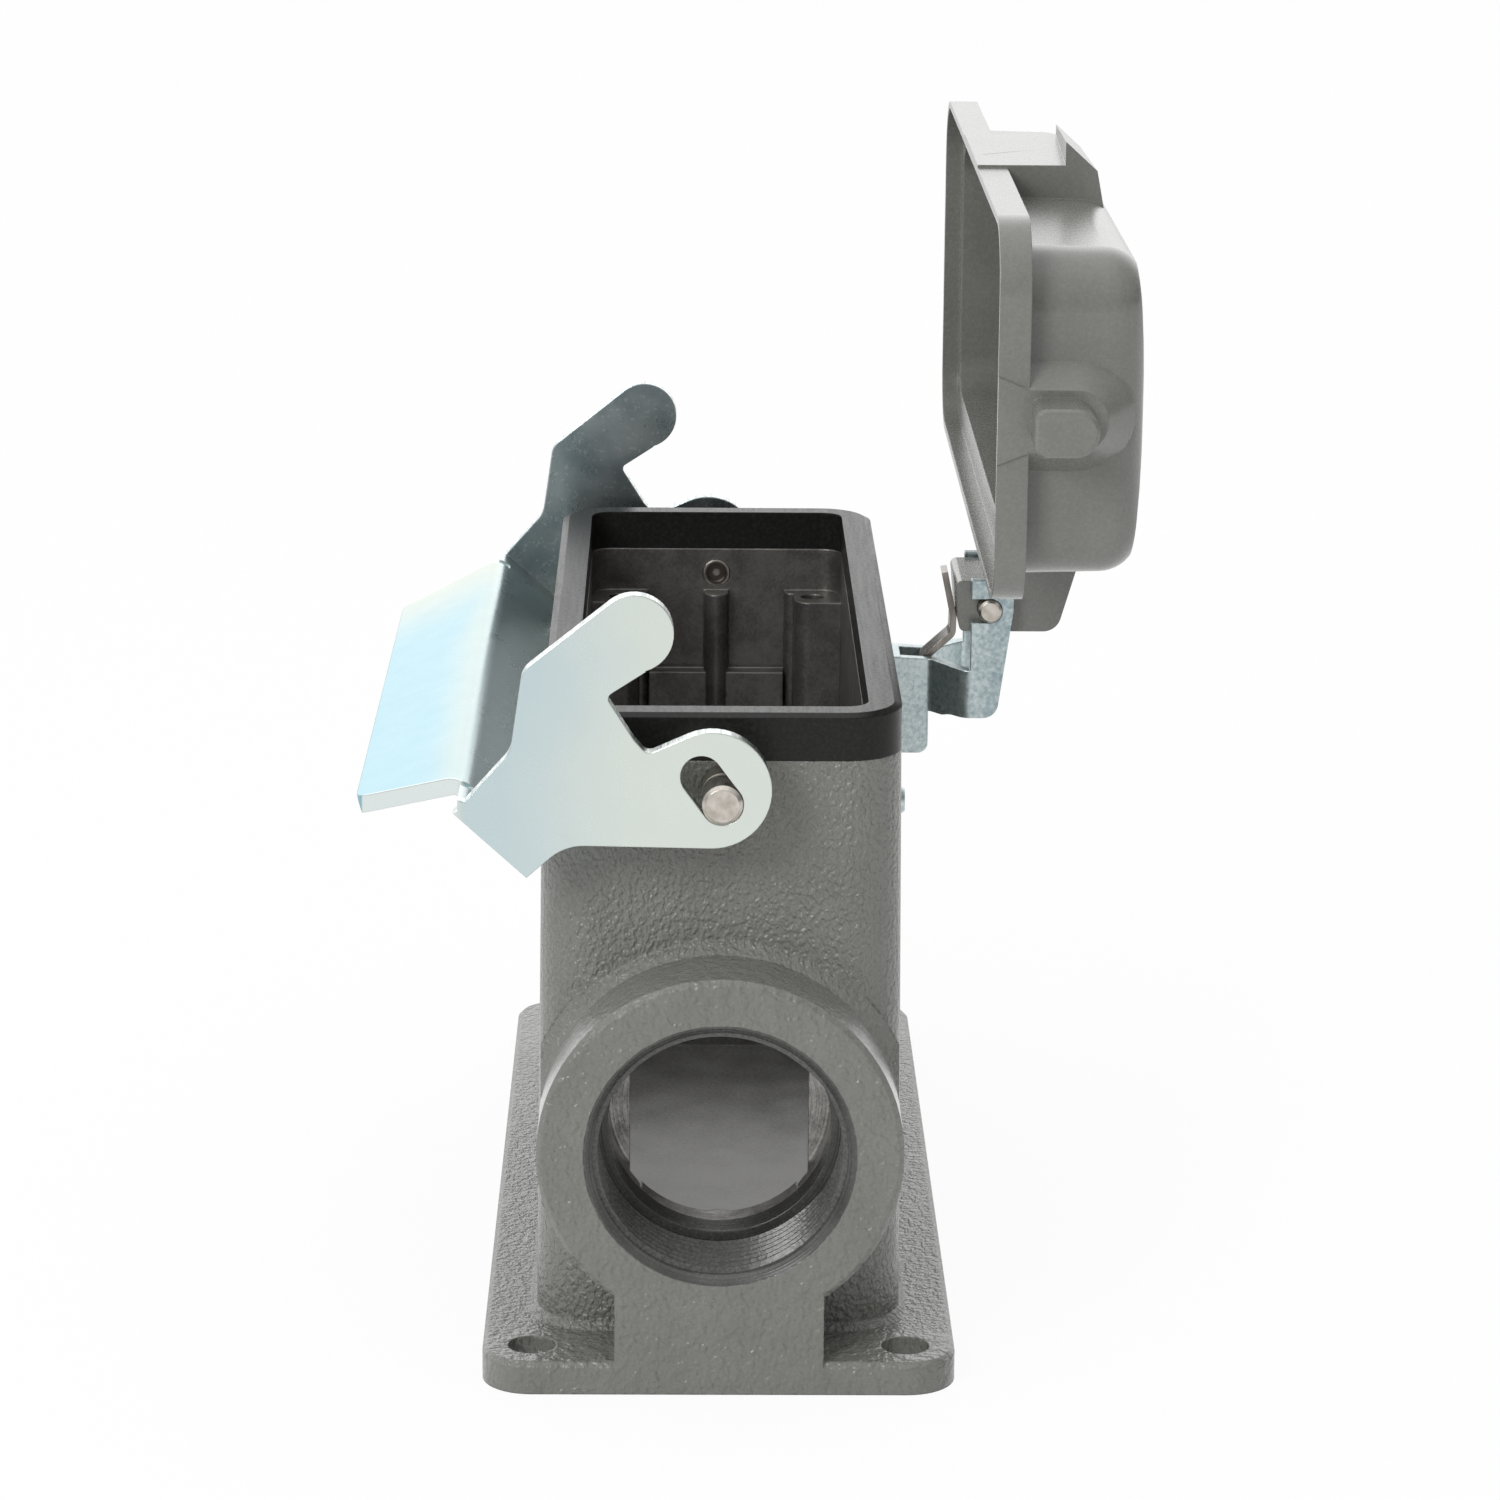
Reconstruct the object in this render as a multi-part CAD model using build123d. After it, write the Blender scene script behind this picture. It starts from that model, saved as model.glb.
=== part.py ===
# Surface-mounting housing of a rectangular industrial connector, high form, in millimetres.
# X is the short side, Y the long side, Z is up. The origin is the centre of the underside.
# The locking lever lies open on the -X side and the cover stands open on the +X side.
import math
import os

from build123d import *

# Base flange
base_length = 144.0
base_width = 57.0
base_thickness = 4.0
base_corner = 6.0
edge_break = 0.6
root_fillet = 0.8
mount_edge = 6.0
mount_hole = 5.8

# Cast body, tapered towards the collar
flange_end = 12.0
flange_side = 7.0
body_draft = 0.8
body_corner = 7.0
neck_base = 75.3
body_top = 81.0
wall = 4.0
cavity_draft = 0.5
cavity_corner = 2.8
floor_thickness = 4.5

# Collar gasket on its neck
gasket_outer_wall = 1.4
gasket_inner_wall = 1.2
gasket_roof = 1.5
gasket_inner_depth = 5.2
gasket_bevel_width = 0.9
gasket_bevel_height = 0.45

# Cable entry, metric thread 32 x 1.5
entry_height = 30.0
boss_diameter = 43.6
boss_fillet = 1.3
thread_major = 32.0
thread_minor = 30.376
thread_depth = 11.5
entry_inner = 27.0
foot_width = 25.0

# Insert fixing posts in the corners, and the rib, ledge and floor step of each end wall
insert_edge = 8.0
post_drop = 11.2
post_side = 2.6
post_front = 3.9
post_corner = 2.0
pad_corner = 1.0
pad_side = 3.9
pad_reach = 2.0
insert_hole = 3.3
insert_hole_depth = 12.0
rib_width = 3.4
rib_reach = 3.4
ledge_drop = 22.5
ledge_reach = 2.7
ledge_width = 19.0
step_height = 2.7
step_reach = 7.0
window_depth = 8.4

# Lever pins
pin_drop = 8.7
pin_diameter = 4.8
pin_outside = 9.4
pin_chamfer = 0.45
pin_groove_depth = 0.2
pin_groove_width = 0.7
pin_groove_start = 3.6
pin_inner = 3.7
pin_inner_length = 1.5
pin_inside = 0.25
pin_cup = 2.5
pin_cup_depth = 0.6

# Locking lever, sheet metal
sheet = 2.0
arm_offset = 6.8
eye_radius = 7.0
slot_length = 4.2
slot_angle = 126.1
slot_clearance = 0.08
tip_x, tip_z, tip_radius = -10.35, 20.4, 4.6
crest_x, crest_z = -30.9, 1.03
web_length = 10.9
handle_slope = 21.4
handle_length = 14.0
handle_bend = 3.2
handle_taper = 9.0
handle_corner = 4.0
relief_width = 2.0
relief_depth = 3.0

# Cover hinge
hinge_offset = 13.1
hinge_rise = 0.9
hinge_pin_diameter = 3.0
hinge_pin_length = 19.4
hinge_clearance = 0.06
knuckle_length = 14.2

# Cover, sizes given as if it lay shut, measured from the plane of its rim
rim_offset = 2.95
rim_gap = 0.4
rim_wall = 0.9
rim_height = 3.7
rim_step = 2.2
dome_inset = 3.15
dome_shift = 0.45
dome_draft = 0.4
dome_height = 17.6
dome_corner = 7.0
dome_edge = 4.8
dome_crown = 1.4
cover_wall = 2.4
peg_height = 7.4
peg_width = 5.7
peg_offset = 3.9
peg_outside = 9.2
peg_corner = 1.2
peg_chamfer = 0.35
boss_radius = 6.4
boss_offset = 9.2
boss_outside = 1.6
boss_slope = 2.7
ramp_width = 10.4
tab_length = 30.0
tab_shift = 2.0
tab_proud = 0.35
tab_height = 10.95
tab_height_far = 11.9
tab_lip = 2.95
tab_lip_far = 1.3
tab_slope = 47.7
tab_top = 15.9
tab_top_slope = 10.8

# Hinge bracket, sheet metal
bracket_sheet = 1.5
bracket_pad = 0.45
bracket_pad_width = 11.0
bracket_drop = 0.7
bracket_length = 24.6
bracket_arm_outer = 3.9
bracket_arm_height = 7.2
tongue_drop = 5.6
tongue_width = 3.7
tongue_corner = 1.3
ear_outer = 9.2
ear_top = 4.0
ear_bottom = -14.1
ear_left = -2.4
ear_right_top = 3.0
ear_right_bottom = 1.0
ear_corner = 2.0
joggle_offset = 6.7
rivet_diameter = 3.2
rivet_head = 4.4
rivet_below_top = 5.8
rivet_head_height = 1.0
rivet_depth = 3.0

# Leaf spring
spring_sheet = 0.8
spring_width = 4.4
spring_foot = 5.5
spring_bend = 1.2

# Values that follow from the sizes above
body_top_length = base_length - 2 * flange_end
body_top_width = base_width - 2 * flange_side
mount_pitch_x = base_width - 2 * mount_edge
mount_pitch_y = base_length - 2 * mount_edge
half_x = body_top_width / 2
half_y = body_top_length / 2
foot_x = body_top_width + 2 * body_draft
foot_y = body_top_length + 2 * body_draft
cavity_x = half_x - wall
cavity_y = half_y - wall
entry_face = -base_length / 2
insert_x = half_x - insert_edge
insert_y = half_y - insert_edge
post_top = body_top - post_drop
pin_height = body_top - pin_drop
arm_inner = half_y + arm_offset
arm_outer = arm_inner + sheet
handle_root_width = body_top_length
handle_edge_width = handle_root_width - 2 * handle_taper
hinge_x = half_x + hinge_offset
hinge_z = body_top + hinge_rise
bracket_top = neck_base - bracket_drop
bracket_bottom = bracket_top - bracket_length
side_x = half_x + bracket_pad
plate_front = side_x + bracket_sheet
joggle_start = half_x + joggle_offset
rim_width = body_top_width + 2 * (rim_gap + rim_wall)
rim_length = body_top_length + 2 * (rim_gap + rim_wall)
rim_corner = body_corner + rim_gap + rim_wall
dome_x = rim_width - 2 * dome_inset
dome_y = rim_length - 2 * dome_inset
peg_reach = half_y + peg_outside
boss_reach = half_y + boss_outside


def rounded_box(width, length, height, corner, z=0.0):
    """A block with rounded upright corners, standing on height z."""
    return Pos(0, 0, z) * extrude(RectangleRounded(width, length, corner), height)


def drafted_box(width, length, corner, z0, z1, draft):
    """A rounded block that leans in by the draft on every side from z0 to z1, or out if negative."""
    lean = math.degrees(math.atan(draft / (z1 - z0)))
    return Pos(0, 0, z0) * extrude(RectangleRounded(width, length, corner), z1 - z0, taper=lean)


def along_y(diameter, y0, y1, x=0.0, z=0.0):
    """A round bar along Y between y0 and y1."""
    return Pos(x, (y0 + y1) / 2, z) * Rot(90, 0, 0) * Cylinder(diameter / 2, abs(y1 - y0))


def upright_plate(face, y0, y1):
    """A face drawn in X and Z, made into a plate between y0 and y1."""
    plate = extrude(Plane.XZ * face, abs(y1 - y0))
    return Pos(0, max(y0, y1), 0) * plate


def housing_body():
    shell = drafted_box(foot_x, foot_y, body_corner + body_draft, 0, neck_base, body_draft)
    flange = rounded_box(base_width, base_length, base_thickness, base_corner)
    shell += chamfer(flange.edges().group_by(Axis.Z)[-1], edge_break)

    # Slope in place of a fillet where the body stands on the flange
    slope_width = foot_x + 2 * root_fillet
    slope_length = foot_y + 2 * root_fillet
    slope_corner = body_corner + body_draft + root_fillet
    slope_top = base_thickness + 1.2 * root_fillet
    shell += drafted_box(slope_width, slope_length, slope_corner, base_thickness, slope_top, 1.2 * root_fillet)

    # Cable boss, the slope round its root, and the foot that ties it to the flange
    boss_end = -half_y + wall / 2
    boss = along_y(boss_diameter, entry_face, boss_end, z=entry_height)
    shell += chamfer(boss.edges().group_by(Axis.Y)[0], edge_break)
    root_front = -half_y - body_draft / 2 - boss_fillet
    root_depth = 1.5 * boss_fillet
    root = Rot(-90, 0, 0) * Cone(boss_diameter / 2, boss_diameter / 2 + root_depth, root_depth)
    root = Pos(0, root_front + root_depth / 2, entry_height) * root
    shell += root & Pos(0, root_front, entry_height) * Box(body_top_width, 4 * root_depth, 2 * boss_diameter)
    foot_top = entry_height - boss_diameter / 4
    foot_depth = boss_end - entry_face
    shell += Pos(0, entry_face + foot_depth / 2, foot_top / 2) * Box(foot_width, foot_depth, foot_top)

    # Flat pad that the hinge bracket is riveted to
    pad_low = bracket_bottom - 1
    pad_height = neck_base - pad_low
    pad = Box(2 * bracket_pad, bracket_pad_width, pad_height)
    shell += Pos(half_x, 0, pad_low + pad_height / 2) * pad

    # Collar neck that carries the gasket
    neck_outer_x = body_top_width - 2 * gasket_outer_wall
    neck_outer_y = body_top_length - 2 * gasket_outer_wall
    neck_height = body_top - gasket_roof - neck_base
    neck = rounded_box(neck_outer_x, neck_outer_y, neck_height, body_corner - gasket_outer_wall, neck_base)
    shell += neck

    # Cavity, a little narrower at the floor, and the rebate for the gasket's inner skirt
    inner = cavity()
    shell -= inner
    rebate_z = body_top - gasket_inner_depth
    rebate_x = 2 * (cavity_x + gasket_inner_wall)
    rebate_y = 2 * (cavity_y + gasket_inner_wall)
    shell -= rounded_box(rebate_x, rebate_y, 10, cavity_corner + gasket_inner_wall, rebate_z)

    # Four fixing posts in the corners, each on a low pad of the end wall
    for sx in (-1, 1):
        for sy in (-1, 1):
            post = corner_block(sx, sy, insert_x - post_side, insert_y - post_front, post_corner)
            pad = corner_block(sx, sy, insert_x - pad_side, cavity_y - pad_reach, pad_corner)
            shell += post + pad
            hole = Cylinder(insert_hole / 2, insert_hole_depth)
            shell -= Pos(sx * insert_x, sy * insert_y, post_top - insert_hole_depth / 2) * hole

    # Round-nosed rib, low ledge and floor step on both end walls
    rib_height = post_top - floor_thickness
    ledge_height = body_top - ledge_drop - floor_thickness
    for sy in (-1, 1):
        nose = sy * (cavity_y - rib_reach + rib_width / 2)
        rib = Pos(0, nose, 0) * Cylinder(rib_width / 2, rib_height)
        rib += Pos(0, nose + sy * rib_reach / 2, 0) * Box(rib_width, rib_reach, rib_height)
        shell += Pos(0, 0, floor_thickness + rib_height / 2) * rib
        ledge = Box(ledge_width, 2 * ledge_reach, ledge_height)
        shell += Pos(0, sy * cavity_y, floor_thickness + ledge_height / 2) * ledge
        step = Box(2 * cavity_x + wall, step_reach + wall / 2, 2 * step_height)
        shell += Pos(0, sy * (cavity_y - step_reach / 2 + wall / 4), floor_thickness) * step

    # Cable entry: mouth chamfer, thread core bore and the round window to the cavity
    thread_end = entry_face + thread_depth
    shell -= along_y(thread_minor, entry_face, thread_end, z=entry_height)
    shell -= along_y(entry_inner, entry_face, window_depth - half_y, z=entry_height)
    mouth_depth = (thread_major - thread_minor) / 2
    cone = Cone(thread_major / 2, thread_minor / 2, mouth_depth)
    shell -= Pos(0, entry_face + mouth_depth / 2, entry_height) * Rot(-90, 0, 0) * cone

    # Stepped bores for the two lever pins, the flange holes and the rivet holes
    for sy in (-1, 1):
        shoulder = sy * (cavity_y + pin_inner_length)
        shell -= along_y(pin_inner, sy * (cavity_y - 2), shoulder, z=pin_height)
        shell -= along_y(pin_diameter, shoulder, sy * (half_y + wall), z=pin_height)
        for sx in (-1, 1):
            place = Pos(sx * mount_pitch_x / 2, sy * mount_pitch_y / 2, base_thickness / 2)
            shell -= place * Cylinder(mount_hole / 2, 2 * base_thickness)
    for z in rivet_heights():
        shell -= Pos(half_x, 0, z) * Rot(0, 90, 0) * Cylinder(rivet_diameter / 2, 2 * rivet_depth)
    return shell


def corner_block(sx, sy, x, y, corner):
    """A rounded block in a corner of the cavity, from the point x, y to inside both walls."""
    width = cavity_x + wall / 2 - x
    length = cavity_y + wall / 2 - y
    height = post_top - floor_thickness + 1
    place = Pos(sx * (x + width / 2), sy * (y + length / 2), floor_thickness - 1)
    return place * extrude(RectangleRounded(width, length, corner), height)


def cavity():
    """The space inside the walls, a little wider at its mouth."""
    floor_x = 2 * (cavity_x - cavity_draft)
    floor_y = 2 * (cavity_y - cavity_draft)
    floor_corner = cavity_corner - cavity_draft
    return drafted_box(floor_x, floor_y, floor_corner, floor_thickness, body_top, -cavity_draft)


def rivet_heights():
    """The two rivets: one between the bracket arms, one on the plate's tail."""
    return (bracket_top - rivet_below_top, bracket_bottom + rivet_head)


def collar_gasket():
    bevel = gasket_bevel_width
    bevel_base = body_top - gasket_bevel_height
    block = rounded_box(body_top_width, body_top_length, bevel_base - neck_base, body_corner, neck_base)
    block += drafted_box(body_top_width, body_top_length, body_corner, bevel_base, body_top, bevel)
    skirt_z = body_top - gasket_inner_depth
    opening = rounded_box(2 * cavity_x, 2 * cavity_y, 20, cavity_corner, neck_base - 5)
    neck_height = body_top - gasket_roof - neck_base
    neck_x = body_top_width - 2 * gasket_outer_wall
    neck_y = body_top_length - 2 * gasket_outer_wall
    neck = rounded_box(neck_x, neck_y, neck_height, body_corner - gasket_outer_wall, neck_base)
    rebate_x = 2 * (cavity_x + gasket_inner_wall)
    rebate_y = 2 * (cavity_y + gasket_inner_wall)
    core = rounded_box(rebate_x, rebate_y, 10, cavity_corner + gasket_inner_wall, skirt_z)
    return block - (neck - core) - opening


def lever_pin(side):
    shoulder = side * (cavity_y + pin_inner_length)
    inner_end = side * (cavity_y - pin_inside)
    pin = along_y(pin_diameter, shoulder, side * (half_y + pin_outside), z=pin_height)
    outer_edges = pin.edges().filter_by(GeomType.CIRCLE).sort_by(Axis.Y)
    pin = chamfer(outer_edges[-1] if side > 0 else outer_edges[0], pin_chamfer)
    pin += along_y(pin_inner, inner_end, shoulder, z=pin_height)
    groove_y = side * (half_y + pin_groove_start)
    ring = along_y(pin_diameter + 2, groove_y, groove_y + side * pin_groove_width, z=pin_height)
    core_diameter = pin_diameter - 2 * pin_groove_depth
    ring -= along_y(core_diameter, groove_y - 2, groove_y + 2, z=pin_height)
    cup = along_y(pin_cup, inner_end - side, inner_end + side * pin_cup_depth, z=pin_height)
    return pin - ring - cup


def unit(x, z):
    """Unit vector in the X-Z plane."""
    return Vector(x, z).normalized()


def left_of(direction):
    """The direction turned a quarter turn anticlockwise."""
    return Vector(-direction.Y, direction.X)


def tangent_point(centre, radius, point, side):
    """Where the line from a point touches a circle, on its left (1) or right (-1) side."""
    gap = point - centre
    lean = math.degrees(math.acos(radius / gap.length))
    return centre + gap.normalized().rotate(Axis.Z, side * lean) * radius


def rounded_outline(points, rounds):
    """A closed face through the points, with the corners named in rounds filleted."""
    face = make_face(Polyline(*[(p.X, p.Y) for p in points], close=True))
    for index, radius in rounds.items():
        spot = points[index]
        corner = [v for v in face.vertices() if (Vector(v.X, v.Y) - Vector(spot.X, spot.Y)).length < 0.01]
        face = fillet(corner, radius)
    return face


def lever_profile():
    """Section of web and handle, one sheet thick under the line web end, crest, free edge."""
    web = unit(-0.7396, 0.6730)
    slope = math.radians(handle_slope)
    handle = Vector(-math.cos(slope), -math.sin(slope))
    crest = Vector(crest_x, pin_height + crest_z)
    web_end = crest - web * web_length
    edge = crest + handle * handle_length
    under = (left_of(web) + left_of(handle)).normalized()
    reach = sheet / under.dot(left_of(web))
    points = [
        web_end,
        crest,
        edge,
        edge + left_of(handle) * sheet,
        crest + under * reach,
        web_end + left_of(web) * sheet,
    ]
    return rounded_outline(points, {1: handle_bend, 4: handle_bend - sheet})


def lever_arm_face():
    """Outline of one hooked arm round its eye, seen from the front."""
    pivot = Vector(0, pin_height)
    slot_way = Vector(1, 0).rotate(Axis.Z, slot_angle)
    eye = pivot + slot_way * (slot_length / 2)
    tip = pivot + Vector(tip_x, tip_z)
    crest = pivot + Vector(crest_x, crest_z)
    valley = pivot + Vector(-8.8, 6.0)
    shoulder = tip + Vector(-13.0, -4.5)
    finger = tip + Vector(1.35, -4.5)
    points = [
        crest + Vector(8.0, -9.99),
        pivot + Vector(-18.4, -5.0),
        eye + Vector(-0.2, -eye_radius),
        eye,
        tangent_point(eye, eye_radius, valley, -1),
        valley,
        pivot + Vector(-10.3, 7.7),
        pivot + Vector(-13.6, 12.9),
        finger,
        tip,
        tangent_point(tip, tip_radius, shoulder, -1),
        shoulder,
        crest + Vector(6.15, 5.17),
        crest + Vector(0.3, -1.43),
        crest + Vector(-0.55, -2.21),
    ]
    face = rounded_outline(points, {1: 6.0, 5: 1.2, 7: 0.7, 11: 3.0, 12: 3.0})
    face += Pos(eye.X, eye.Y) * Circle(eye_radius)
    face += Pos(tip.X, tip.Y) * Circle(tip_radius)
    slot = SlotCenterToCenter(slot_length, pin_diameter + 2 * slot_clearance, rotation=slot_angle)
    return face - Pos(eye.X, eye.Y) * slot


def locking_lever():
    arm = upright_plate(lever_arm_face(), -arm_outer, -arm_inner)
    fold = upright_plate(lever_profile(), -arm_outer, arm_outer)

    # The handle narrows towards its free edge, and a notch frees its bend from the arm's bend
    free_x = crest_x - handle_length * math.cos(math.radians(handle_slope))
    plan_points = [
        Vector(crest_x, -handle_root_width / 2),
        Vector(free_x, -handle_edge_width / 2),
        Vector(free_x, handle_edge_width / 2),
        Vector(crest_x, handle_root_width / 2),
    ]
    plan = rounded_outline(plan_points, {1: handle_corner, 2: handle_corner})
    plan += Pos(crest_x + 10, 0) * Rectangle(20, 2 * arm_outer)
    fold &= Pos(0, 0, pin_height - 30) * extrude(plan, 60)
    lever = fold + arm + mirror(arm, Plane.XZ)
    for side in (-1, 1):
        notch_y = side * (handle_root_width / 2 + relief_width / 2)
        notch = Box(8, relief_width, relief_depth)
        lever -= Pos(crest_x, notch_y, pin_height + crest_z) * notch
    return lever


def shut_cover():
    """The cover lying shut over the origin, its rim plane at zero and its hinge side at +X."""
    rim = rounded_box(rim_width, rim_length, rim_height, rim_corner)
    dome = drafted_box(dome_x, dome_y, dome_corner, 0, dome_height, dome_draft)
    dome = fillet(dome.edges().group_by(Axis.Z)[-1], dome_edge)
    crown_radius = (dome_x ** 2 / 4 + dome_crown ** 2) / (2 * dome_crown)
    crown = along_y(2 * crown_radius, -rim_length, rim_length, z=dome_height - crown_radius)
    dome &= crown + rounded_box(dome_x, dome_y, dome_height - 4 * dome_crown, dome_corner)
    shell = rim + Pos(dome_shift, 0, 0) * dome + grip_tab() + knuckle()

    shell += end_fitting()
    shell += mirror(end_fitting(), Plane.XZ)

    # Hollow, with a shallow step at the rim that clears the collar
    hollow_x = dome_x - 2 * cover_wall
    hollow_y = dome_y - 2 * cover_wall
    hollow_top = dome_height - cover_wall
    hollow = drafted_box(hollow_x, hollow_y, dome_corner - cover_wall, 0, hollow_top, dome_draft)
    hollow = chamfer(hollow.edges().group_by(Axis.Z)[-1], dome_edge - cover_wall)
    shell -= Pos(dome_shift, 0, 0) * hollow
    step_x = rim_width - 2 * rim_wall
    step_y = rim_length - 2 * rim_wall
    shell -= rounded_box(step_x, step_y, rim_step, rim_corner - rim_wall)
    return shell


def end_fitting():
    """Locking peg, the sloping boss round it and its ramp to the rim, at the shut cover's front end."""
    start = dome_y / 2 - 1
    steepness = boss_slope / (boss_reach - dome_y / 2)
    radius = boss_radius + steepness
    height = boss_reach - start
    low = -steepness * height
    outline = Pos(0, boss_offset) * Circle(radius)
    outline += Pos(0, (boss_offset + low) / 2) * Rectangle(2 * radius, boss_offset - low)
    lean = math.degrees(math.atan(steepness))
    boss = Pos(0, -start, 0) * extrude(Plane.XZ * outline, height, taper=lean)
    boss &= Pos(0, -boss_reach, dome_height) * Box(4 * radius, 4 * height, 2 * dome_height)

    # Ramp on the rim, level with the boss
    plateau = boss_radius - boss_slope
    points = [
        (-ramp_width / 2, 0),
        (ramp_width / 2, 0),
        (plateau, rim_height),
        (-plateau, rim_height),
    ]
    ramp = upright_plate(make_face(Polyline(*points, close=True)), -boss_reach, 1 - rim_length / 2)

    # Peg, flat towards the rim and round away from it
    half = peg_width / 2
    peg_round = peg_offset + peg_height - half
    corners = [
        Vector(-half, peg_offset),
        Vector(half, peg_offset),
        Vector(half, peg_round),
        Vector(-half, peg_round),
    ]
    outline = rounded_outline(corners, {0: peg_corner, 1: peg_corner}) + Pos(0, peg_round) * Circle(half)
    peg = upright_plate(outline, -peg_reach, -start)
    peg = chamfer(peg.edges().group_by(Axis.Y)[0], peg_chamfer)
    return boss + ramp + peg


def tab_face(lip, height):
    """Section of the finger grip at one end, seen from the front, with its lip's reach and height."""
    face_x = -rim_width / 2 - tab_proud
    inner_x = dome_shift - dome_x / 2 + 1.8
    crest = face_x - lip
    steep = math.tan(math.radians(tab_slope))
    flat = math.tan(math.radians(tab_top_slope))
    shoulder_x = (tab_top - height - flat * inner_x + steep * crest) / (steep - flat)
    points = [
        (inner_x, 0),
        (face_x, 0),
        (face_x, height),
        (crest, height),
        (shoulder_x, height + steep * (shoulder_x - crest)),
        (inner_x, tab_top),
    ]
    return make_face(Polyline(*points, close=True))


def grip_tab():
    """Finger grip on the free long side of the shut cover. Its lip slopes from front to rear."""
    front_y = tab_shift - tab_length / 2
    rear_y = tab_shift + tab_length / 2
    front = Plane((0, front_y, 0), x_dir=(1, 0, 0), z_dir=(0, -1, 0)) * tab_face(tab_lip, tab_height)
    rear = Plane((0, rear_y, 0), x_dir=(1, 0, 0), z_dir=(0, -1, 0)) * tab_face(tab_lip_far, tab_height_far)
    return loft([front, rear], ruled=True)


def knuckle():
    """Hinge knuckle of the shut cover: a block round the pin with an arm to the dome."""
    pin = Vector(hinge_x, rim_offset)
    dome_side = dome_shift + dome_x / 2 - 0.9
    points = [
        pin + Vector(-3.5, -4.4),
        pin + Vector(3.1, -3.8),
        pin + Vector(3.1, 8.7),
        pin + Vector(-4.8, 11.0),
        Vector(dome_side, dome_height - dome_edge),
        Vector(dome_side, rim_height + 0.4),
        Vector(pin.X - 3.5, rim_height + 0.4),
    ]
    face = rounded_outline(points, {0: 0.8, 1: 0.8, 2: 2.3})
    block = upright_plate(face, -knuckle_length / 2, knuckle_length / 2)
    bore_diameter = hinge_pin_diameter + 2 * hinge_clearance
    return block - along_y(bore_diameter, -knuckle_length, knuckle_length, pin.X, pin.Y)


def cover():
    shut = Pos(0, 0, hinge_z - rim_offset) * shut_cover()
    return shut.rotate(Axis((hinge_x, 0, hinge_z), (0, 1, 0)), 90)


def bracket_side_face():
    """Side view of arm, tongue and C-shaped ear."""
    arm_low = bracket_top - bracket_arm_height
    tongue_x = plate_front + tongue_width
    pin = Vector(hinge_x, hinge_z)
    points = [
        Vector(side_x, bracket_top),
        Vector(pin.X + ear_left, bracket_top - 0.6),
        pin + Vector(ear_left, ear_top),
        pin + Vector(ear_right_top - 1.2, ear_top),
        pin + Vector(ear_right_top, ear_top - 1.2),
        pin + Vector(ear_right_top, 0),
        pin + Vector(ear_right_bottom, ear_bottom),
        pin + Vector(ear_left - 2.4, ear_bottom),
        Vector(pin.X + ear_left - 3.4, arm_low),
        Vector(tongue_x, arm_low),
        Vector(tongue_x, arm_low - tongue_drop),
        Vector(side_x, arm_low - tongue_drop),
    ]
    face = rounded_outline(points, {6: ear_corner, 7: ear_corner, 10: tongue_corner})
    mouth_height = hinge_pin_diameter + 2 * hinge_clearance
    mouth = Pos(pin.X - 3, pin.Y) * Rectangle(6, mouth_height)
    return face - mouth - Pos(pin.X, pin.Y) * Circle(mouth_height / 2)


def hinge_bracket():
    arm_inner_face = bracket_arm_outer - bracket_sheet
    arm_low = bracket_top - bracket_arm_height

    # Back plate on the pad of the wall
    plate_height = bracket_top - bracket_bottom
    place = Pos(side_x + bracket_sheet / 2, 0, bracket_top - plate_height / 2)
    bracket = place * Box(bracket_sheet, 2 * bracket_arm_outer, plate_height)

    # Each side is an arm with its joggle in plan, cut to the side view of arm, ear and tongue
    ear_x = hinge_x + ear_left
    ear_inner = ear_outer - bracket_sheet
    far_x = hinge_x + ear_right_top
    plan_points = [
        Vector(side_x, arm_inner_face),
        Vector(joggle_start, arm_inner_face),
        Vector(ear_x, ear_inner),
        Vector(far_x, ear_inner),
        Vector(far_x, ear_outer),
        Vector(ear_x - 0.9, ear_outer),
        Vector(joggle_start - 0.9, bracket_arm_outer),
        Vector(side_x, bracket_arm_outer),
    ]
    plan = rounded_outline(plan_points, {1: 1.0, 2: 0.8, 5: 2.0, 6: 0.8})
    low = arm_low - tongue_drop
    strap = Pos(0, 0, low) * extrude(plan, hinge_z + ear_top - low)
    strap &= upright_plate(bracket_side_face(), 0, ear_outer + 1)
    bracket += strap + mirror(strap, Plane.XZ)
    for z in rivet_heights():
        hole = Rot(0, 90, 0) * Cylinder(rivet_diameter / 2, 4 * bracket_sheet)
        bracket -= Pos(plate_front, 0, z) * hole
    return bracket


def rivet(z, stack):
    """Blind rivet in the wall, its head on a stack of sheets of this thickness."""
    seat = side_x + stack
    inner_end = half_x - rivet_depth
    shank = Rot(0, 90, 0) * Cylinder(rivet_diameter / 2, seat - inner_end)
    shank = Pos((seat + inner_end) / 2, 0, z) * shank
    head = Cone(rivet_head / 2, rivet_head / 2 - 0.7, rivet_head_height)
    return shank + Pos(seat + rivet_head_height / 2, 0, z) * Rot(0, 90, 0) * head


def hinge_pin():
    half = hinge_pin_length / 2
    pin = along_y(hinge_pin_diameter, -half, half, hinge_x, hinge_z)
    return chamfer(pin.edges().filter_by(GeomType.CIRCLE), 0.3)


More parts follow.
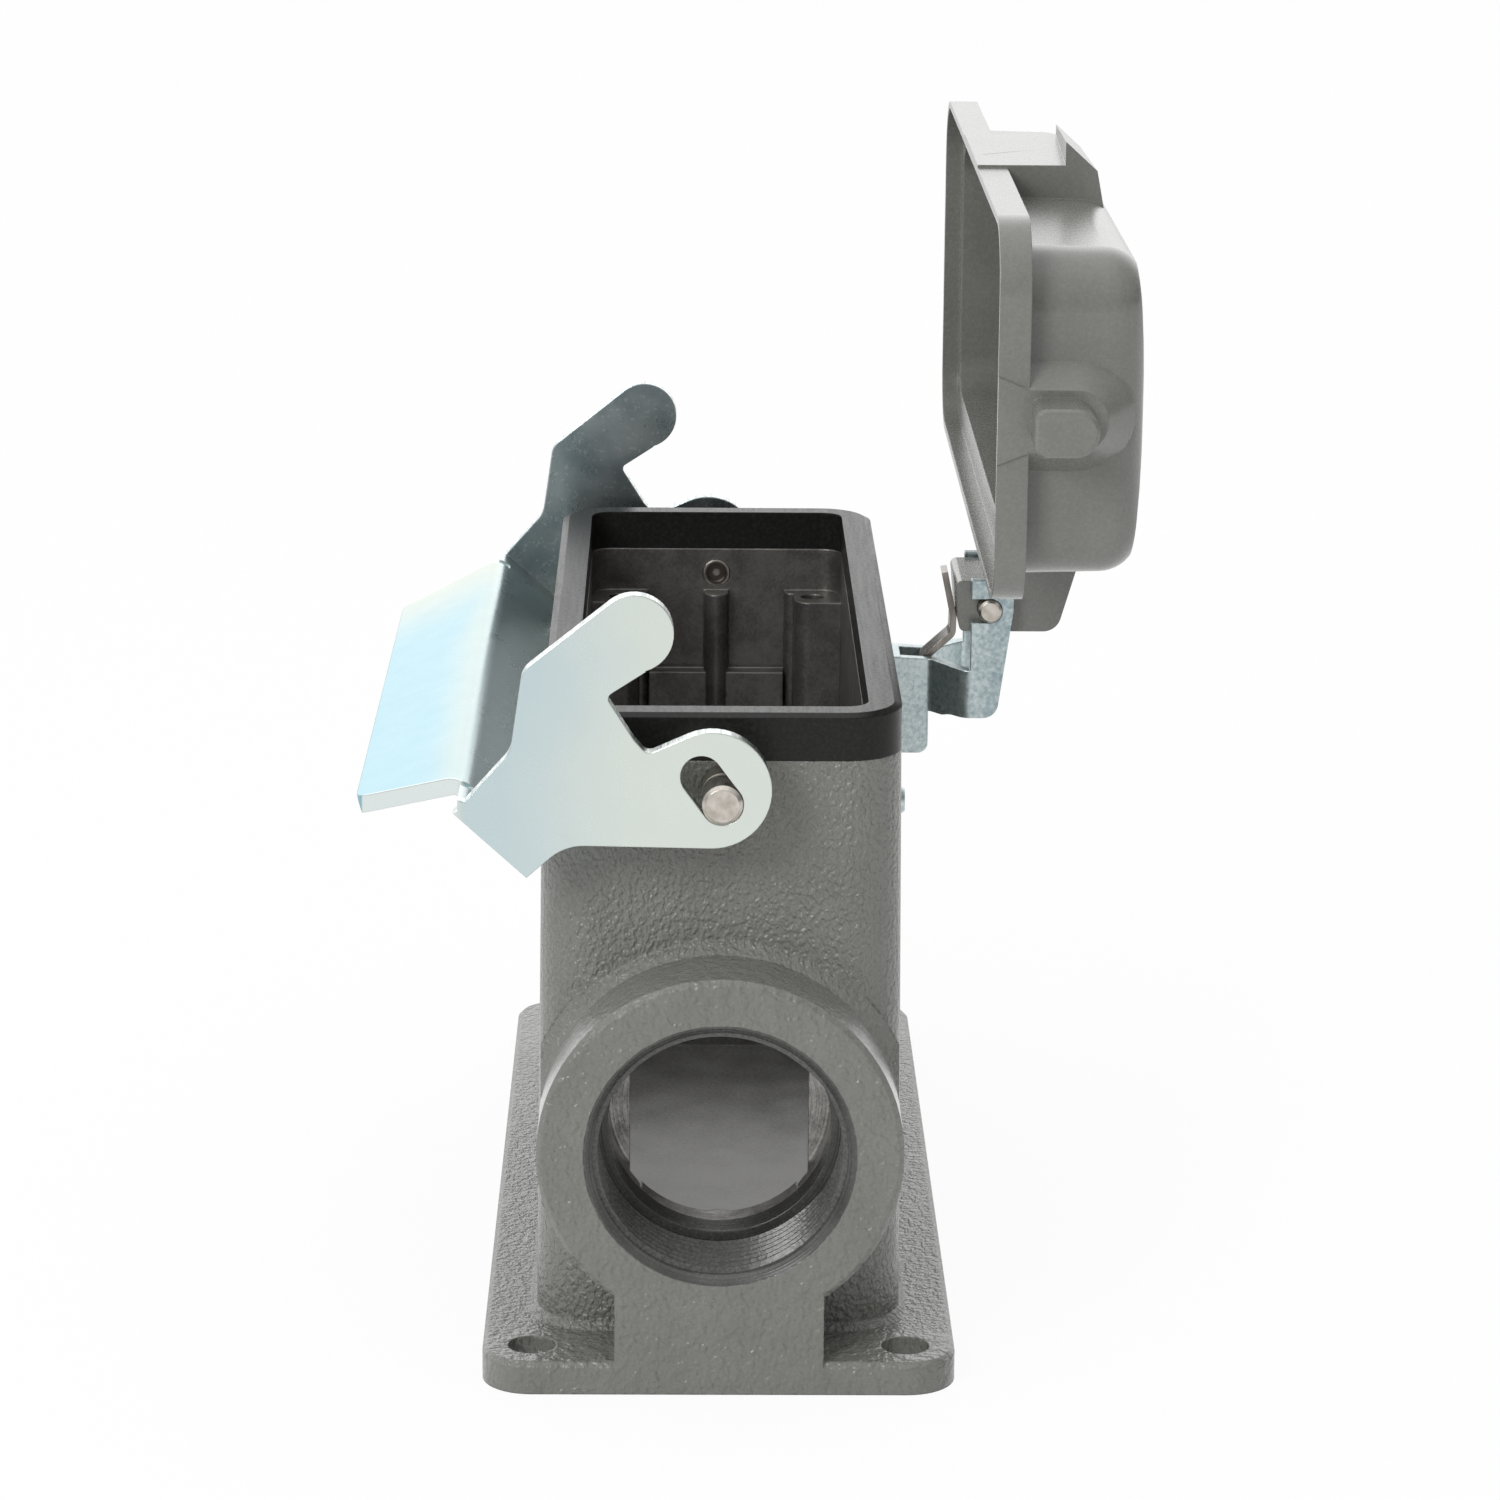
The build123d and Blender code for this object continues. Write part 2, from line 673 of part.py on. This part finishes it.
def leaf_spring():
    """Bent strip: a foot under the upper rivet, then up between the arms to the knuckle."""
    foot_x = plate_front + spring_sheet / 2
    foot_top = rivet_heights()[0] + rivet_head / 2 + 0.4
    foot_low = foot_top - spring_foot
    points = [
        (foot_x, foot_low),
        (foot_x, foot_top),
        (hinge_x - 7.1, hinge_z - 7.1),
        (hinge_x - 4.35, hinge_z - 4.6),
        (hinge_x - 4.3, hinge_z - 2.3),
        (hinge_x - 5.5, hinge_z + 3.5),
    ]
    centre_line = FilletPolyline(*points, radius=spring_bend)
    strip = upright_plate(trace(centre_line, spring_sheet), -spring_width / 2, spring_width / 2)
    hole = Rot(0, 90, 0) * Cylinder(rivet_diameter / 2, 4 * spring_sheet)
    return strip - Pos(foot_x, 0, rivet_heights()[0]) * hole


os.makedirs("parts", exist_ok=True)
upper_rivet, lower_rivet = rivet_heights()
nodes = {
    "housing_body": housing_body(),
    "collar_gasket": collar_gasket(),
    "lever_pin_front": lever_pin(-1),
    "lever_pin_rear": lever_pin(1),
    "locking_lever": locking_lever(),
    "hinge_bracket": hinge_bracket(),
    "bracket_rivet_upper": rivet(upper_rivet, bracket_sheet + spring_sheet),
    "bracket_rivet_lower": rivet(lower_rivet, bracket_sheet),
    "hinge_pin": hinge_pin(),
    "hinge_spring": leaf_spring(),
    "cover": cover(),
}
for name, solid in nodes.items():
    export_step(solid, f"parts/{name}.step")
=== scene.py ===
# Surface-mounting rectangular connector housing, open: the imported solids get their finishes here.
# Everything is in metres in the row's frame: X across, Y along, Z up from the underside of the base.
import math

import bpy
import mathutils
import numpy as np
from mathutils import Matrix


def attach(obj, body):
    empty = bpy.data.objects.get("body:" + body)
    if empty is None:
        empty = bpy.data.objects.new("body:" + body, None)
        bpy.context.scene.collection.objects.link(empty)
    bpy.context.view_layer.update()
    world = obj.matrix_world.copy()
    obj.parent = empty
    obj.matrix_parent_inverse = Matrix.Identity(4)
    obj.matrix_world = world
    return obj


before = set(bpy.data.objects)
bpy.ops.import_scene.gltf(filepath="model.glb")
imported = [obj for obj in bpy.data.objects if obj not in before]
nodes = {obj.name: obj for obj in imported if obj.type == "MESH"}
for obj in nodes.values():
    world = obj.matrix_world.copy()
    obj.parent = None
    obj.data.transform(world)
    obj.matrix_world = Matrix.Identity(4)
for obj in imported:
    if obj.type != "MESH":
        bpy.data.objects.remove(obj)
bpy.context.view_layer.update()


# The studio. A white cove lit from all sides, so that paint shows its own grey and the bare metal
# mirrors white, with a little more light from the left and from overhead. The photograph's lens is
# long and looks down on the housing by some 15 degrees.
camera_data = bpy.data.cameras.new("camera")
camera_data.sensor_width = 36.0
camera_data.lens = 118.02
camera_data.clip_start = 0.05
camera_data.clip_end = 20.0
camera = bpy.data.objects.new("camera", camera_data)
camera.location = (-0.004817, -0.62212, 0.222952)
camera.rotation_euler = tuple(math.radians(a) for a in (75.412, -0.4547, -0.7067))
bpy.context.scene.collection.objects.link(camera)
bpy.context.scene.camera = camera
bpy.context.scene.view_settings.view_transform = "Standard"


class Wire:
    """A socket that gives a value. Sums and products of wires and numbers add Math nodes."""

    def __init__(self, socket):
        self.socket = socket

    def node(self, kind, settings, values, output=0):
        """Adds a node of this kind to the same tree. Its settings are made before its sockets."""
        tree = self.socket.id_data
        made = tree.nodes.new(kind)
        for name, setting in settings.items():
            setattr(made, name, setting)
        for name, value in values.items():
            if isinstance(value, Wire):
                tree.links.new(value.socket, made.inputs[name])
            else:
                made.inputs[name].default_value = value
        return Wire(made.outputs[output])

    def maths(self, operation, *others):
        """A Math node that takes this wire first and the others after it."""
        values = dict(enumerate((self, *others)))
        return self.node("ShaderNodeMath", {"operation": operation}, values)

    def __add__(self, other):
        return self.maths("ADD", other)

    def __sub__(self, other):
        return self.maths("SUBTRACT", other)

    def __mul__(self, other):
        return self.maths("MULTIPLY", other)

    def __radd__(self, other):
        return self.maths("ADD", other)

    def __rmul__(self, other):
        return self.maths("MULTIPLY", other)

    def __rsub__(self, other):
        return (self * -1).maths("ADD", other)

    def __abs__(self):
        return self.maths("ABSOLUTE")

    def rise(self, low, high):
        """0 below low, 1 above high, smooth between. With low above high it falls instead."""
        settings = {"interpolation_type": "SMOOTHSTEP"}
        return self.node("ShaderNodeMapRange", settings, {0: self, 1: low, 2: high, 3: 0.0, 4: 1.0})

    def split(self):
        """The three parts of a vector."""
        parts = self.node("ShaderNodeSeparateXYZ", {}, {0: self}).socket.node
        return [Wire(part) for part in parts.outputs]

    def tint(self, low, high):
        """A colour between two, by this wire's value from 0 to 1."""
        values = {0: self}
        for key, colour in ((6, low), (7, high)):
            values[key] = colour if isinstance(colour, Wire) else (*colour, 1)
        return self.node("ShaderNodeMix", {"data_type": "RGBA"}, values, 2)


def studio_world():
    """A pale room, bright overhead and behind the housing and dimmer in front and on the right."""
    world = bpy.data.worlds.new("cove")
    world.use_nodes = True
    tree = world.node_tree
    sky = Wire(tree.nodes.new("ShaderNodeTexCoord").outputs["Generated"])
    across, along, up = sky.split()
    overhead = 0.55 * up.rise(0.0, 0.9) + 0.45 * up.rise(0.78, 1.0)
    level = 0.35 - 0.17 * across + 1.15 * along.rise(0.2, 0.95) + overhead
    path = tree.nodes.new("ShaderNodeLightPath")
    seen = Wire(path.outputs["Is Camera Ray"])
    strength = level + seen * (1 - level)
    background = tree.nodes["Background"]
    background.inputs["Color"].default_value = (1, 1, 1, 1)
    tree.links.new(strength.socket, background.inputs["Strength"])
    bpy.context.scene.world = world


studio_world()


def softbox():
    """The square lamp with a cloth front that stands to the left of the camera and higher."""
    lamp_data = bpy.data.lights.new("softbox", "AREA")
    lamp_data.shape = "SQUARE"
    lamp_data.size = 0.45
    lamp_data.energy = 7.0
    lamp = bpy.data.objects.new("softbox", lamp_data)
    lamp.visible_camera = False
    stand = mathutils.Vector((-0.6, -0.98, 0.7))
    aim = mathutils.Vector((0.0, 0.0, 0.06))
    lamp.location = stand
    lamp.rotation_euler = (aim - stand).to_track_quat("-Z", "Y").to_euler()
    bpy.context.scene.collection.objects.link(lamp)


softbox()


def studio_floor():
    """A wide sheet of pale card. The camera and mirrors see it white, with a faint shadow."""
    half = 6.0
    glow_share = 0.93
    mesh = bpy.data.meshes.new("studio_floor")
    corners = [(-half, -half, 0), (half, -half, 0), (half, half, 0), (-half, half, 0)]
    mesh.from_pydata(corners, [], [(0, 1, 2, 3)])
    card = bpy.data.objects.new("studio_floor", mesh)
    bpy.context.scene.collection.objects.link(card)
    white = bpy.data.materials.new("white_card")
    white.use_nodes = True
    tree = white.node_tree
    tree.nodes.clear()
    path = tree.nodes.new("ShaderNodeLightPath")
    seen = Wire(path.outputs["Is Camera Ray"])
    mirrored = Wire(path.outputs["Is Glossy Ray"])
    through = Wire(path.outputs["Is Transmission Ray"])
    bright = seen.maths("MAXIMUM", mirrored).maths("MAXIMUM", through)
    card_face = tree.nodes.new("ShaderNodeBsdfDiffuse")
    card_face.inputs["Color"].default_value = (0.8, 0.8, 0.8, 1)
    glow = tree.nodes.new("ShaderNodeEmission")
    mixed = bright.node("ShaderNodeMixShader", {}, {0: bright * glow_share})
    tree.links.new(card_face.outputs[0], mixed.socket.node.inputs[1])
    tree.links.new(glow.outputs[0], mixed.socket.node.inputs[2])
    out = tree.nodes.new("ShaderNodeOutputMaterial")
    tree.links.new(mixed.socket, out.inputs["Surface"])
    mesh.materials.append(white)


studio_floor()


# The housing body: one aluminium die casting. Outside it has a grey powder coat that cures to a pebbled
# skin, softer on the cable boss and its foot; inside the bore the coat is painted darker, painted shade.
# Inside it is bare casting, painted paler low down and near white on the floor, brightest at the front:
# painted light.
cavity_x = 17.75
cavity_y = 56.4
floor_top = 4.2
boss_start = -60.5
boss_top = 54.0
foot_top = 8.0
mouth = -72.0
entry_height = 30.0
bore_radius = 16.3
bore_end = -50.0
coat_grey = (0.150, 0.152, 0.138)
coat_pale = (0.178, 0.181, 0.165)
bore_shade_dark = (0.035, 0.036, 0.033)
bore_shade_pale = (0.085, 0.086, 0.079)
wall_dark = (0.115, 0.109, 0.101)
wall_pale = (0.195, 0.187, 0.176)
floor_dull_and_shade = (0.16, 0.158, 0.155)
floor_painted_light = (0.95, 0.95, 0.94)
deep_painted_light = (0.55, 0.54, 0.52)


def new_finish(name):
    """A material with one shader, and the wire that gives the place on the part in millimetres."""
    finish = bpy.data.materials.new(name)
    finish.use_nodes = True
    tree = finish.node_tree
    metres = Wire(tree.nodes.new("ShaderNodeTexCoord").outputs["Object"])
    scaled = metres.node("ShaderNodeVectorMath", {"operation": "SCALE"}, {0: metres, "Scale": 1000.0})
    return finish, scaled


def noise(place, size, detail=2.0, seed=0.0):
    """Cloudy noise from 0 to 1 whose lumps are about this many millimetres wide."""
    settings = {"noise_dimensions": "4D"}
    values = {"Vector": place, "W": seed, "Scale": 1 / size, "Detail": detail, "Roughness": 0.5}
    return place.node("ShaderNodeTexNoise", settings, values)


def stretch(place, x, y, z):
    """The place multiplied along each axis, which draws a pattern out the other way."""
    return place.node("ShaderNodeVectorMath", {"operation": "MULTIPLY"}, {0: place, 1: (x, y, z)})


def soft_edge(place, radius):
    """The surface's normal with its sharp edges rounded to this radius in millimetres."""
    settings = {"samples": 8}
    return place.node("ShaderNodeBevel", settings, {"Radius": radius / 1000})


def relief(height, depth, normal):
    """The normal of a surface that stands up by height times this depth in millimetres."""
    values = {"Strength": 1.0, "Distance": depth / 1000, "Height": height, "Normal": normal}
    return height.node("ShaderNodeBump", {}, values)


def finish_off(finish, **sockets):
    """Sets the shader's sockets, given by their names with underscores for spaces."""
    shader = finish.node_tree.nodes["Principled BSDF"]
    for name, value in sockets.items():
        socket = shader.inputs[name.replace("_", " ")]
        if isinstance(value, Wire):
            finish.node_tree.links.new(value.socket, socket)
        else:
            socket.default_value = value


def dress(node, finish):
    """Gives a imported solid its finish."""
    for slot in nodes[node].material_slots:
        slot.material = finish


def orange_peel(place, size, seed=0.0):
    """Powder coat skin: smooth rounded lumps of two sizes, from 0 to 1."""
    lumps = noise(place, size, 1.0, seed).rise(0.28, 0.74)
    return lumps * 0.8 + noise(place, size * 0.4, 1.0, seed + 4) * 0.2


def body_finish():
    """Powder coat outside, bare casting inside, told apart by the place on the part."""
    finish, place = new_finish("housing_coat")
    x, y, z = place.split()
    inside_x = abs(x).rise(cavity_x, cavity_x - 0.05)
    inside_y = abs(y).rise(cavity_y, cavity_y - 0.1)
    bare = inside_x * inside_y * z.rise(floor_top, floor_top + 0.1)
    low = z.rise(9.0, 5.0)
    boss = y.rise(boss_start, boss_start - 2) * z.rise(boss_top, boss_top - 2)
    shoulder = boss * z.rise(foot_top, foot_top + 4) * y.rise(mouth + 0.1, mouth + 1)
    centred = place.node("ShaderNodeCombineXYZ", {}, {0: x, 1: 0.0, 2: z - entry_height})
    reach = centred.node("ShaderNodeVectorMath", {"operation": "LENGTH"}, {0: centred}, 1)
    bore = reach.rise(bore_radius, bore_radius - 0.2) * y.rise(bore_end, bore_end - 0.5)
    turned = noise(place.node("ShaderNodeCombineXYZ", {}, {0: y, 1: reach, 2: 0.0}), 0.3, 2.0, 7)
    patches = noise(place, 9.0, 3.0)
    grain = noise(place, 0.35, 2.0, 3)
    tone = (patches * 0.6 + grain * 0.4).rise(0.3, 0.7)
    # Inside the bore the coat is painted darker: painted shade from the dark cavity behind it.
    coat = bore.tint(tone.tint(coat_grey, coat_pale), tone.tint(bore_shade_dark, bore_shade_pale))
    scuffs = (noise(place, 4.0, 4.0, 6) * 0.65 + grain * 0.35).rise(0.35, 0.65)
    # The walls are painted paler towards the floor: painted light that lifts the deep cavity and throws
    # more light onto the floor.
    deep = z.rise(56.0, 24.0)
    wall = deep.tint(scuffs.tint(wall_dark, wall_pale), scuffs.tint(wall_pale, deep_painted_light))
    blasted = noise(place, 0.5, 3.0, 8) * 0.35 + noise(place, 6.0, 3.0, 9) * 0.3
    # The floor is painted near white and paler towards the front: a painted pool of the light that comes
    # in through the bore, with painted shade at its far end.
    sanded_and_lit = (blasted + y.rise(46, -4) * 0.5).rise(0.2, 0.95)
    ground = sanded_and_lit.tint(floor_dull_and_shade, floor_painted_light)
    metal = low.tint(wall, ground)
    coated = (1 - bare) * (1 - bore)
    fine = orange_peel(stretch(place, 1.1, 1.0, 0.9), 0.66) * (1 - 0.6 * boss)
    peel = (fine + orange_peel(place, 1.15, 5) * boss * 0.95) * coated
    skin = peel + grain * bare * 0.2 + turned * bore * 0.3
    finish_off(
        finish,
        Base_Color=bare.tint(coat, metal),
        Roughness=0.22 + 0.08 * grain + 0.1 * bare,
        Coat_Weight=(0.22 + 0.68 * shoulder) * (1 - bare),
        Coat_Roughness=0.25,
        Metallic=bare * (0.7 - 0.65 * low),
        Normal=relief(skin, 0.27, soft_edge(place, 0.4)),
    )
    return finish


dress("housing_body", body_finish())


# The cable entry's thread: one ridge with sloping flanks cut round the bore with a pitch of 1.5 mm,
# coated with the rest of the casting and painted darker than it, painted shade of the bore. It runs in
# from the mouth and fades out at both ends.
core_radius = 15.188
pitch = 1.5
thread_start = -71.0
turns = 7
steps_per_turn = 96
ridge_sides = np.array([-0.5, -0.09, 0.09, 0.5])
ridge_sunk = 0.16
ridge_height = 0.62
fade_angle = math.radians(50)
thread_shade_dark = (0.05, 0.051, 0.047)
thread_shade_pale = (0.10, 0.101, 0.094)


def entry_thread():
    """A four-sided ridge carried round a helix. Angle a runs along it, and its middle lies at
    (r cos a, start + pitch a / turn, height + r sin a). Near each end the ridge shrinks into the wall."""
    rise = np.array([-ridge_sunk, ridge_height, ridge_height, -ridge_sunk])
    angle = np.linspace(0, 2 * math.pi * turns, steps_per_turn * turns + 1)[:, None]
    fade = np.clip(np.minimum(angle, angle[-1] - angle) / fade_angle, 0.02, 1)
    reach = core_radius - (rise * fade - ridge_sunk * (1 - fade))
    along = thread_start + pitch * angle / (2 * math.pi) + ridge_sides * fade
    points = np.stack([reach * np.cos(angle), along, entry_height + reach * np.sin(angle)], axis=2)
    row = 4 * np.arange(len(angle) - 1)[:, None]
    near = np.arange(4)
    far = (near + 1) % 4
    quads = np.stack([row + near, row + far, row + far + 4, row + near + 4], axis=2).reshape(-1, 4)
    last = 4 * (len(angle) - 1)
    ends = [(3, 2, 1, 0), (last, last + 1, last + 2, last + 3)]
    mesh = bpy.data.meshes.new("entry_thread")
    mesh.from_pydata((points.reshape(-1, 3) / 1000).tolist(), [], quads.tolist() + ends)
    mesh.validate()
    piece = bpy.data.objects.new("entry_thread", mesh)
    bpy.context.scene.collection.objects.link(piece)
    return piece


def thread_finish():
    """A darker copy of the coat, painted shade of the bore, with the fine grain of a cut thread."""
    finish, place = new_finish("thread_coat")
    grain = noise(place, 0.4, 3.0, 2)
    # The thread is painted darker than the coat: painted shade of the bore.
    finish_off(
        finish,
        Base_Color=grain.rise(0.3, 0.7).tint(thread_shade_dark, thread_shade_pale),
        Roughness=0.18 + 0.1 * grain,
        Normal=relief(grain, 0.03, soft_edge(place, 0.06)),
    )
    return finish


thread = entry_thread()
thread.data.materials.append(thread_finish())
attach(thread, "housing")


# The collar gasket: one ring of black rubber, moulded to a cap and pressed over the housing's neck.
# It is a little paler in faint dust and in long streaks where the cover has wiped along it.
rubber_clean = (0.009, 0.009, 0.008)
rubber_dusty = (0.018, 0.018, 0.018)


def gasket_finish():
    """Black rubber with faint dust and the long streaks of wiping."""
    finish, place = new_finish("gasket_rubber")
    wiped = noise(stretch(place, 1.0, 0.03, 1.0), 0.35, 2.0, 4)
    dust = (noise(place, 0.5, 3.0) * 0.6 + wiped * 0.4).rise(0.4, 0.7)
    finish_off(
        finish,
        Base_Color=dust.tint(rubber_clean, rubber_dusty),
        Roughness=0.3 + 0.14 * dust,
        Specular_IOR_Level=0.22,
        Normal=relief(noise(place, 0.6, 2.0, 2) + wiped * 0.8, 0.006, soft_edge(place, 0.25)),
    )
    return finish


dress("collar_gasket", gasket_finish())


# The lever pins and the hinge pin: turned stainless steel, a little warm, with fine rings from the
# tool on the ends and round the shank. The lever pins are pressed into the end walls.
turned_dark = (0.46, 0.42, 0.37)
turned_pale = (0.66, 0.62, 0.57)
cup_painted_shade = (0.14, 0.12, 0.105)
lever_pin_height = 72.3
hinge_pin_x = 34.6
hinge_pin_height = 81.9


def pin_finish(name, x0, z0, cup_end):
    """Turned steel. The rings follow the distance from the pin's own axis at x0, z0. The pressed cup in
    an inner end is painted darker, painted shade in the recess. It lies nearer the middle of the part
    than cup_end."""
    finish, place = new_finish(name)
    x, y, z = place.split()
    centred = place.node("ShaderNodeCombineXYZ", {}, {0: x - x0, 1: 0.0, 2: z - z0})
    reach = centred.node("ShaderNodeVectorMath", {"operation": "LENGTH"}, {0: centred}, 1)
    rings = (reach * 26).maths("SINE") * 0.5 + (y * 19).maths("SINE") * 0.5
    smears = noise(place, 1.2, 3.0)
    # The cup is painted dark: painted shade in the pressed recess.
    cup = abs(y).rise(cup_end, cup_end - 0.1) * reach.rise(1.7, 1.5) * reach.rise(0.35, 0.6)
    steel = smears.rise(0.3, 0.7).tint(turned_dark, turned_pale)
    finish_off(
        finish,
        Base_Color=cup.tint(steel, cup_painted_shade),
        Roughness=0.22 + 0.16 * smears,
        Metallic=1.0,
        Normal=relief(rings, 0.004, soft_edge(place, 0.12)),
    )
    return finish


lever_pin_steel = pin_finish("lever_pin_steel", 0.0, lever_pin_height, 58.0)
for end in ("front", "rear"):
    dress(f"lever_pin_{end}", lever_pin_steel)
dress("hinge_pin", pin_finish("hinge_pin_steel", hinge_pin_x, hinge_pin_height, 0.0))


# The locking lever: 2 mm steel sheet, cut, folded and zinc plated. The bright blue passivation shows
# faint rainbow films where it dried, most of all on the handle. The cut edges are painted brighter,
# partly a painted highlight.
crest_x = -30.9
handle_half = 59.6
handle_draw_in = 0.69
arm_inner = 66.8
arm_outer = 68.8
film_cyan = (0.262, 0.461, 0.531)
film_blue = (0.266, 0.44, 0.61)
film_cream = (0.50, 0.52, 0.45)
zinc_blue = (0.57, 0.68, 0.70)
zinc_warm = (0.71, 0.76, 0.71)
far_arm_shade_dark = (0.30, 0.36, 0.38)
far_arm_shade_pale = (0.62, 0.67, 0.67)
sheared_dark = (0.40, 0.44, 0.43)
sheared_pale_highlight = (0.84, 0.88, 0.87)
handle_end_highlight = (0.74, 0.80, 0.79)


def lever_finish():
    """Zinc plate. The handle's film is cyan with cream near its bend, the arms are plainer, the far arm
    is painted darker as painted shade with specks of dust, and the sheared edges are bright, partly a
    painted highlight, and lined across the sheet."""
    finish, place = new_finish("lever_zinc")
    x, y, z = place.split()
    handle = x.rise(-29.5, -31.5)
    drift = noise(stretch(place, 1.0, 0.3, 1.0), 14.0, 2.0, 1)
    low = (z + drift * 12).rise(74.0, 62.0)
    cyan = low.tint(film_cyan, film_blue)
    warm = (x + drift * 6).rise(-34.0, -28.0) * 0.6
    cream = warm.maths("MAXIMUM", (y + drift * 16).rise(28, 66) * 0.85)
    film = cream.tint(cyan, film_cream)
    clouds = noise(place, 6.0, 3.0, 3).rise(0.3, 0.7)
    grain = noise(place, 0.3, 2.0, 5)
    aged = (x + drift * 12).rise(-22.0, 0.0)
    plain = aged.tint(zinc_blue, zinc_warm)
    dust = noise(place, 0.6, 2.0, 12).rise(0.58, 0.68)
    # The far arm is painted darker: painted shade, with clouds and specks of dust.
    far_arm_shade_and_dust = (clouds * 0.7 + dust * 0.5).tint(far_arm_shade_dark, far_arm_shade_pale)
    arms = y.rise(60, 64).tint(plain, far_arm_shade_and_dust)
    past_inner = abs(y).rise(arm_inner + 0.05, arm_inner + 0.1)
    cut = past_inner * abs(y).rise(arm_outer - 0.05, arm_outer - 0.1) * (1 - handle)
    shear = noise(stretch(place, 1.0, 0.06, 1.0), 0.3, 2.0, 8)
    drawn_in = abs(y) - handle_draw_in * (x - crest_x)
    # The handle's cut ends and the arms' sheared edges are painted pale: shear lines, partly a painted
    # highlight.
    ends = handle * drawn_in.rise(handle_half, handle_half + 0.2)
    edges = shear.rise(0.35, 0.65).tint(sheared_dark, sheared_pale_highlight)
    finish_off(
        finish,
        Base_Color=ends.tint(cut.tint(handle.tint(arms, film), edges), handle_end_highlight),
        Roughness=0.2 + 0.1 * noise(place, 4.0, 3.0, 7) + 0.08 * grain,
        Metallic=1.0,
        Normal=relief(noise(place, 0.9, 1.0, 14) * 0.5 + shear * cut * 2, 0.006, soft_edge(place, 0.25)),
    )
    return finish


dress("locking_lever", lever_finish())


# The hinge bracket and its two rivets: 1.5 mm steel sheet, folded and zinc plated, with a mottled
# film, riveted to a pad of the long wall. Its two C-shaped ears carry the hinge pin.
mottle_dark = (0.25, 0.33, 0.36)
mottle_pale = (0.66, 0.74, 0.74)


def bracket_finish():
    """Zinc plate, duller and bluer than the lever's, with mottling and scuffs."""
    finish, place = new_finish("bracket_zinc")
    near_wall = place.split()[0].rise(36.0, 30.0)
    mottle = noise(place, 0.55, 3.0, 2) * 0.65 + noise(place, 5.0, 2.0, 6) * 0.2 + near_wall * 0.15
    speck = noise(place, 0.35, 2.0, 4)
    finish_off(
        finish,
        Base_Color=mottle.rise(0.25, 0.72).tint(mottle_dark, mottle_pale),
        Roughness=0.24 + 0.18 * mottle + 0.06 * speck,
        Metallic=1.0,
        Normal=relief(speck + mottle * 1.5, 0.03, soft_edge(place, 0.25)),
    )
    return finish


bracket_zinc = bracket_finish()
for node in ("hinge_bracket", "bracket_rivet_upper", "bracket_rivet_lower"):
    dress(node, bracket_zinc)


# The leaf spring: a bent strip of hard stainless steel, brownish where it was tempered. Its foot is
# held at the bracket and its tip presses on the cover's knuckle.
temper_dark = (0.17, 0.155, 0.14)
temper_pale = (0.29, 0.265, 0.24)


def spring_finish():
    """Tempered strip, rolled along its length."""
    finish, place = new_finish("spring_strip")
    rolled = noise(stretch(place, 1.0, 3.0, 0.2), 0.8, 2.0)
    finish_off(
        finish,
        Base_Color=rolled.rise(0.3, 0.7).tint(temper_dark, temper_pale),
        Roughness=0.2 + 0.12 * rolled,
        Metallic=1.0,
        Normal=relief(rolled, 0.004, soft_edge(place, 0.1)),
    )
    return finish


dress("hinge_spring", spring_finish())


# The cover: one aluminium die casting with the same grey coat, laid thinner and smoother than on the
# housing. A small wedge-shaped sink mark from casting shows on top of the grip.
cover_grey = (0.137, 0.140, 0.126)
cover_pale = (0.174, 0.177, 0.162)
mark_x = 32.4
mark_y = -3.3
grip_height = 138.0


def cover_finish():
    """Smooth powder coat with fine grain and slow mottling. The sink mark widens from its point at
    mark_x, mark_y and dies out some 8 mm behind it."""
    finish, place = new_finish("cover_coat")
    patches = noise(place, 8.0, 4.0, 2)
    grain = noise(place, 0.4, 3.0, 3)
    tone = (patches * 0.5 + grain * 0.5).rise(0.3, 0.7)
    x, y, z = place.split()
    behind = x - mark_x
    wedge = (behind * 0.7 - abs(y - mark_y)).rise(0.0, 0.7) * behind.rise(7.6, 3.1)
    sink = wedge * z.rise(grip_height, grip_height + 0.5) * behind.rise(0.0, 0.6)
    skin = noise(place, 1.0, 2.0, 5) * 0.8 + grain * 0.12 - sink * 5
    finish_off(
        finish,
        Base_Color=tone.tint(cover_grey, cover_pale),
        Roughness=0.22 + 0.1 * grain,
        Coat_Weight=0.4,
        Coat_Roughness=0.25,
        Normal=relief(skin, 0.03, soft_edge(place, 0.22)),
    )
    return finish


dress("cover", cover_finish())
